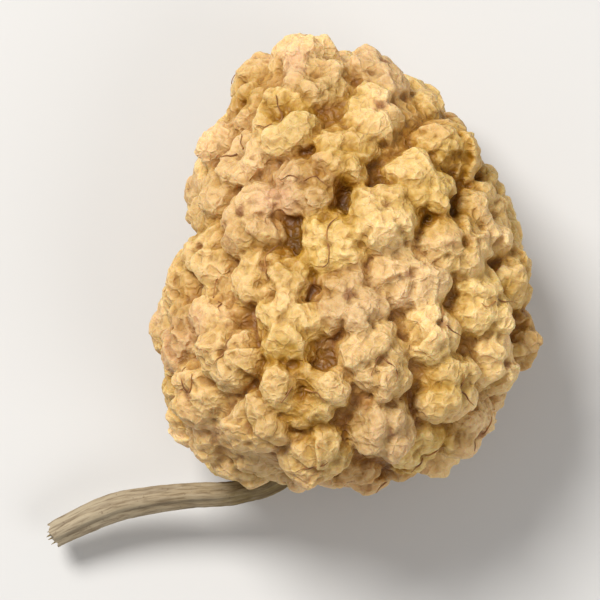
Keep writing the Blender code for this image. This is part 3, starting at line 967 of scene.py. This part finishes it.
def stalkTree(material):
    tree, given = startTree("ribbed stalk", {
        "Sides": ("Int", stalk["sides"]),
        "Ribs": ("Int", stalk["ribs"]),
        "Rib depth": ("Float", stalk["ribDepth"]),
        "Wrinkle size": ("Float", stalk["wrinkleSize"] * mm),
        "Wrinkle depth": ("Float", stalk["wrinkleDepth"] * mm),
        "Torn from": ("Float", stalk["tornFrom"]),
        "Torn depth": ("Float", stalk["tornDepth"] * mm),
        "Outward": ("Vector", None),
        "Splinters": ("Object", None),
    })
    own = {name: addNode(tree, "GeometryNodeInputNamedAttribute", {"Name": name}, data_type=kind)
           for name, kind in (("radius", "FLOAT"), ("along", "FLOAT"), ("ring", "FLOAT_VECTOR"),
                              ("turn", "FLOAT_VECTOR"), ("size", "FLOAT_VECTOR"))}
    path = addNode(tree, "GeometryNodeMeshToCurve", {"Mesh": given["Geometry"]})
    circle = addNode(tree, "GeometryNodeCurvePrimitiveCircle", {
        "Resolution": given["Sides"], "Radius": 1.0}, mode="RADIUS")
    at = addNode(tree, "GeometryNodeInputPosition")
    circle = addNode(tree, "GeometryNodeStoreNamedAttribute", {
        "Geometry": circle, "Name": "ring", "Value": at}, data_type="FLOAT_VECTOR", domain="POINT")
    angle = addNode(tree, "GeometryNodeInputIndex")
    for operation, value in (("MULTIPLY", math.tau), ("DIVIDE", given["Sides"])):
        angle = addNode(tree, "ShaderNodeMath", {0: angle, 1: value}, operation=operation)
    waves = []
    for count, start, depth in (
            (given["Ribs"], 0.0, given["Rib depth"]),
            (stalk["smallRibs"], stalk["smallRibTurn"], stalk["smallRibDepth"])):
        wave = addNode(tree, "ShaderNodeMath", {0: angle, 1: count}, operation="MULTIPLY")
        wave = addNode(tree, "ShaderNodeMath", {0: wave, 1: start}, operation="ADD")
        wave = addNode(tree, "ShaderNodeMath", {0: wave}, operation="COSINE")
        waves.append(addNode(tree, "ShaderNodeMath", {0: wave, 1: depth}, operation="MULTIPLY"))
    rib = addNode(tree, "ShaderNodeMath", {0: waves[0], 1: waves[1]}, operation="ADD")
    raised = addNode(tree, "ShaderNodeVectorMath", {0: at, "Scale": rib}, operation="SCALE")
    outline = addNode(tree, "GeometryNodeSetPosition", {"Geometry": circle, "Offset": raised})
    tube = addNode(tree, "GeometryNodeCurveToMesh", {
        "Curve": path, "Profile Curve": outline, "Scale": own["radius"], "Fill Caps": True})

    # long shallow wrinkles, and an end that tore off in points
    lengthwise = addNode(tree, "ShaderNodeMath", {
        0: own["along"], 1: stalk["foldStretch"]}, operation="MULTIPLY")
    lengthwise = addNode(tree, "ShaderNodeCombineXYZ", {2: lengthwise})
    streaked = addNode(tree, "ShaderNodeVectorMath", {0: own["ring"], 1: lengthwise}, operation="ADD")
    push = addNode(tree, "ShaderNodeTexNoise", {
        "Vector": streaked, "Scale": stalk["foldScale"], "Detail": 3.0})
    roughScale = addNode(tree, "ShaderNodeMath", {0: 1.0, 1: given["Wrinkle size"]}, operation="DIVIDE")
    rough = addNode(tree, "ShaderNodeTexNoise", {"Scale": roughScale, "Detail": 2.0})
    for operation, value in (("MULTIPLY", stalk["foldShare"]), ("ADD", rough),
                             ("SUBTRACT", stalk["foldLevel"]), ("MULTIPLY", given["Wrinkle depth"])):
        push = addNode(tree, "ShaderNodeMath", {0: push, 1: value}, operation=operation)
    normal = addNode(tree, "GeometryNodeInputNormal")
    pushed = addNode(tree, "ShaderNodeVectorMath", {0: normal, "Scale": push}, operation="SCALE")
    torn = addNode(tree, "ShaderNodeMapRange", {0: own["along"], 1: given["Torn from"], 2: 1.0})
    reach = addNode(tree, "ShaderNodeMath", {
        0: given["Torn depth"], 1: stalk["tearStretch"]}, operation="MULTIPLY")
    pull = addNode(tree, "ShaderNodeTexNoise", {
        "Vector": own["ring"], "Scale": stalk["tearScale"], "Detail": 2.0})
    for operation, value in (("SUBTRACT", stalk["tearLevel"]), ("MULTIPLY", reach), ("MULTIPLY", torn)):
        pull = addNode(tree, "ShaderNodeMath", {0: pull, 1: value}, operation=operation)
    tear = addNode(tree, "ShaderNodeVectorMath", {0: given["Outward"], "Scale": pull}, operation="SCALE")
    offset = addNode(tree, "ShaderNodeVectorMath", {0: pushed, 1: tear}, operation="ADD")
    moved = addNode(tree, "GeometryNodeSetPosition", {"Geometry": tube, "Offset": offset})

    cone = addNode(tree, "GeometryNodeMeshCone", {
        "Vertices": 6, "Side Segments": 3, "Radius Top": 0.15, "Radius Bottom": 1.0, "Depth": 1.0})
    turned = addNode(tree, "FunctionNodeEulerToRotation", {0: own["turn"]})
    roots = addNode(tree, "GeometryNodeObjectInfo", {"Object": given["Splinters"]}).outputs["Geometry"]
    copies = addNode(tree, "GeometryNodeInstanceOnPoints", {
        "Points": roots, "Instance": cone, "Rotation": turned, "Scale": own["size"]})
    whole = addNode(tree, "GeometryNodeJoinGeometry", {"Geometry": moved})
    tree.links.new(copies.outputs[0], whole.inputs[0])
    return endTree(tree, whole, material)


def makeStalk(material):
    steps = stalk["points"]
    reach = stalk["end"] - stalk["start"]
    spots = [stalkPoint(stalk["start"] + reach * i / steps) for i in range(steps + 1)]
    line = newPiece("line", [p for p, _ in spots], edges=[(i, i + 1) for i in range(steps)])
    setAttribute(line, "radius", "FLOAT", [r for _, r in spots])
    setAttribute(line, "along", "FLOAT", [i / steps for i in range(steps + 1)])
    end, radius = spots[-1]
    outward = (end - spots[-4][0]).normalized()  # the way that its last three steps go
    thick, long = (value * mm for value in stalk["splinterSize"])
    draw = random.Random(stalk["seed"])
    roots, turns, scales = [], [], []
    for index in range(stalk["splinters"]):
        sideways = Quaternion(outward, index * goldenAngle) @ outward.orthogonal().normalized()
        aside = math.sqrt((index + 0.5) / stalk["splinters"]) * stalk["splinterReach"]
        roots.append(end + sideways * radius * aside - outward * long * stalk["splinterSunk"])
        lean = Quaternion(outward.cross(sideways), draw.uniform(*stalk["splinterLean"]))
        turns.append(tuple((lean @ upward.rotation_difference(outward)).to_euler()))
        width = thick * draw.uniform(*stalk["splinterThickness"])
        scales.append((width, width, long * draw.uniform(*stalk["splinterLength"])))
    splinters = newPiece("splinter_points", roots)
    setAttribute(splinters, "turn", "FLOAT_VECTOR", turns)
    setAttribute(splinters, "size", "FLOAT_VECTOR", scales)
    useTree(line, stalkTree(material), {
        "Sides": stalk["sides"], "Ribs": stalk["ribs"], "Rib depth": stalk["ribDepth"],
        "Outward": tuple(outward), "Splinters": splinters})
    piece = finishedMesh(line, "dry_stem")
    removePieces([splinters])
    return piece


# A dry fibrous stem: matt, pale grey brown, still olive where it comes out of the fruit.
stem = {
    "fruitEnd": "#7D693A",
    "middle": "#948367",
    "outerEnd": "#A99A80",
    "groove": "#543F26",
    "spot": "#4A3018",
    "levels": {"fruitEnd": 0.22, "middle": 0.58, "outerEnd": 1.0},  # of the way along
    "unevenness": 0.12,  # how far the patches move those levels
    "fibreStretch": 3.0,  # little noise for so long a stalk, so the fibres run lengthwise
    "fibreScale": 6.5,  # to a radius of the stalk, so a fibre is about 0.06 mm wide
    "stripeScale": 2.2,  # and a stripe about 0.2
    "noiseRange": (0.3, 0.7),  # most of a noise lies between these
    "patchSize": 0.9,  # mm
    "grainSize": 0.12,
    "grainShare": 0.35,
    "fibreHeight": 0.03,
    # what each layer of colour follows, the two readings it runs between, its strength and its colour
    "layers": (
        ("stripes", 0.50, 0.68, 0.5, "groove"),
        ("fibres", 0.50, 0.70, 0.6, "groove"),
        ("fibres", 0.45, 0.30, 0.35, "outerEnd"),
        ("grains", 0.64, 0.74, 0.5, "spot"),
    ),
    "roughness": (0.62, 0.85),
}


def stemMaterial():
    material, tree = newMaterial("dry fibrous stem")
    place = addNode(tree, "ShaderNodeTexCoord").outputs["Object"]
    along = addNode(tree, "ShaderNodeAttribute", attribute_name="along").outputs["Fac"]
    ring = addNode(tree, "ShaderNodeAttribute", attribute_name="ring").outputs["Vector"]
    lengthwise = addNode(tree, "ShaderNodeMath", {0: along, 1: stem["fibreStretch"]}, operation="MULTIPLY")
    lengthwise = addNode(tree, "ShaderNodeCombineXYZ", {2: lengthwise})
    fibrePlace = addNode(tree, "ShaderNodeVectorMath", {0: ring, 1: lengthwise}, operation="ADD")
    read = {}
    for name, vector, scale, detail in (
            ("fibres", fibrePlace, stem["fibreScale"], 4.0),
            ("stripes", fibrePlace, stem["stripeScale"], 2.0),
            ("patches", place, 1 / (stem["patchSize"] * mm), 3.0),
            ("grains", place, 1 / (stem["grainSize"] * mm), 3.0)):
        read[name] = addNode(tree, "ShaderNodeTexNoise", {"Vector": vector, "Scale": scale, "Detail": detail})

    low, high = stem["noiseRange"]
    shift = addNode(tree, "ShaderNodeMapRange", {
        0: read["patches"], 1: low, 2: high, 3: -stem["unevenness"], 4: stem["unevenness"]})
    level = addNode(tree, "ShaderNodeMath", {0: along, 1: shift}, operation="ADD")
    colour = addNode(tree, "ShaderNodeValToRGB", {0: level})
    stops = colour.color_ramp.elements
    for stop, name in ((stops[0], "fruitEnd"), (stops[1], "outerEnd")):
        stop.position, stop.color = stem["levels"][name], linear(stem[name])
    stops.new(stem["levels"]["middle"]).color = linear(stem["middle"])
    for name, start, full, most, over in stem["layers"]:
        share = addNode(tree, "ShaderNodeMapRange", {0: read[name], 1: start, 2: full, 4: most})
        colour = addNode(tree, "ShaderNodeMix", {
            0: share, 6: colour, 7: linear(stem[over])}, data_type="RGBA").outputs[2]

    sunk = addNode(tree, "ShaderNodeMath", {0: read["fibres"], 1: -1.0}, operation="MULTIPLY")
    raised = addNode(tree, "ShaderNodeMath", {0: read["grains"], 1: stem["grainShare"]}, operation="MULTIPLY")
    height = addNode(tree, "ShaderNodeMath", {0: sunk, 1: raised}, operation="ADD")
    bump = addNode(tree, "ShaderNodeBump", {
        "Strength": 0.8, "Distance": stem["fibreHeight"] * mm, "Height": height})
    least, most = stem["roughness"]
    roughness = addNode(tree, "ShaderNodeMapRange", {0: read["fibres"], 1: low, 2: high, 3: least, 4: most})
    shader = addNode(tree, "ShaderNodeBsdfPrincipled", {
        "Base Color": colour, "Roughness": roughness, "IOR": 1.5, "Normal": bump})
    addNode(tree, "ShaderNodeOutputMaterial", {"Surface": shader})
    return material


# The table, the lights and the camera.
studio = {
    "floorSize": 0.6,
    "floor": "#D0CFCE",
    "floorRoughness": 0.8,
    "world": "#FBFAF8",
    "worldStrength": 0.39,
    # each light's name, place, size, power and colour
    "lights": (
        ("key", (-0.12, 0.12, 0.22), 0.12, 0.88, "#FFFDF9"),
        ("fill", (0.16, -0.10, 0.18), 0.16, 0.16, "#FFFEFC"),
    ),
    "elevation": 85.0,  # the photograph looks almost straight down
    "roll": 5.0,  # and the fruit's tip leans a little to the right
    "lens": 250.0,
    "sensor": 36.0,
    "nearest": 0.01,
    "furthest": 10.0,
    "frame": 19.2 * mm,  # what the picture takes in
    "centre": Vector((0.0, 0.0, 4.5)) * mm,
}


def makeFloor():
    # matt white card is pale and has no shine, so only a soft shadow shows on it
    half = studio["floorSize"] / 2
    corners = [(x * half, y * half, 0) for x, y in ((-1, -1), (1, -1), (1, 1), (-1, 1))]
    floor = newPiece("table_top", corners, [(0, 1, 2, 3)])
    material, tree = newMaterial("matt white card")
    shader = addNode(tree, "ShaderNodeBsdfPrincipled", {
        "Base Color": linear(studio["floor"]), "Roughness": studio["floorRoughness"]})
    addNode(tree, "ShaderNodeOutputMaterial", {"Surface": shader})
    floor.data.materials.append(material)
    return floor


def makeLight(name, place, size, power, colour):
    data = bpy.data.lights.new(name, "AREA")
    data.shape = "DISK"
    data.size = size
    data.energy = power
    data.color = linear(colour)[:3]
    lamp = bpy.data.objects.new(name, data)
    lamp.location = place
    lamp.rotation_mode = "QUATERNION"
    lamp.rotation_quaternion = (-Vector(place)).to_track_quat("-Z", "Y")
    bpy.context.scene.collection.objects.link(lamp)


def makeStudio():
    world = bpy.data.worlds.new("studio")
    world.use_nodes = True
    back = world.node_tree.nodes["Background"]
    back.inputs["Color"].default_value = linear(studio["world"])
    back.inputs["Strength"].default_value = studio["worldStrength"]
    bpy.context.scene.world = world
    for light in studio["lights"]:
        makeLight(*light)


def makeCamera():
    data = bpy.data.cameras.new("camera")
    data.lens = studio["lens"]
    data.sensor_width = studio["sensor"]
    data.clip_start = studio["nearest"]
    data.clip_end = studio["furthest"]
    distance = studio["frame"] * data.lens / data.sensor_width
    turn = math.radians(studio["roll"])
    rise = math.radians(studio["elevation"])
    level = Vector((-math.sin(turn), math.cos(turn), 0))  # the way up in the picture, on the table
    back = -level * math.cos(rise) + upward * math.sin(rise)
    right = level.cross(upward).normalized()
    facing = Matrix((right, back.cross(right), back)).transposed().to_4x4()
    camera = bpy.data.objects.new("camera", data)
    camera.matrix_world = Matrix.Translation(studio["centre"] + back * distance) @ facing
    bpy.context.scene.collection.objects.link(camera)
    bpy.context.scene.camera = camera
    bpy.context.scene.view_settings.view_transform = "Standard"


print("drupelets: placing %d" % fruit["drupelets"])
places = drupeletPlaces()
skinPiece = makeSkin(places, fleshMaterial())
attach(skinPiece, "root")
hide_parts("berry")
print("skin: %d points" % len(skinPiece.data.vertices))

threadPiece = makeThreads(places, skinPiece, threadMaterial())
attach(threadPiece, "root")

stalkPiece = makeStalk(stemMaterial())
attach(stalkPiece, "root")
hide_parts("stalk")
print("stalk: done")

makeFloor()
makeStudio()
makeCamera()
print("studio: done")
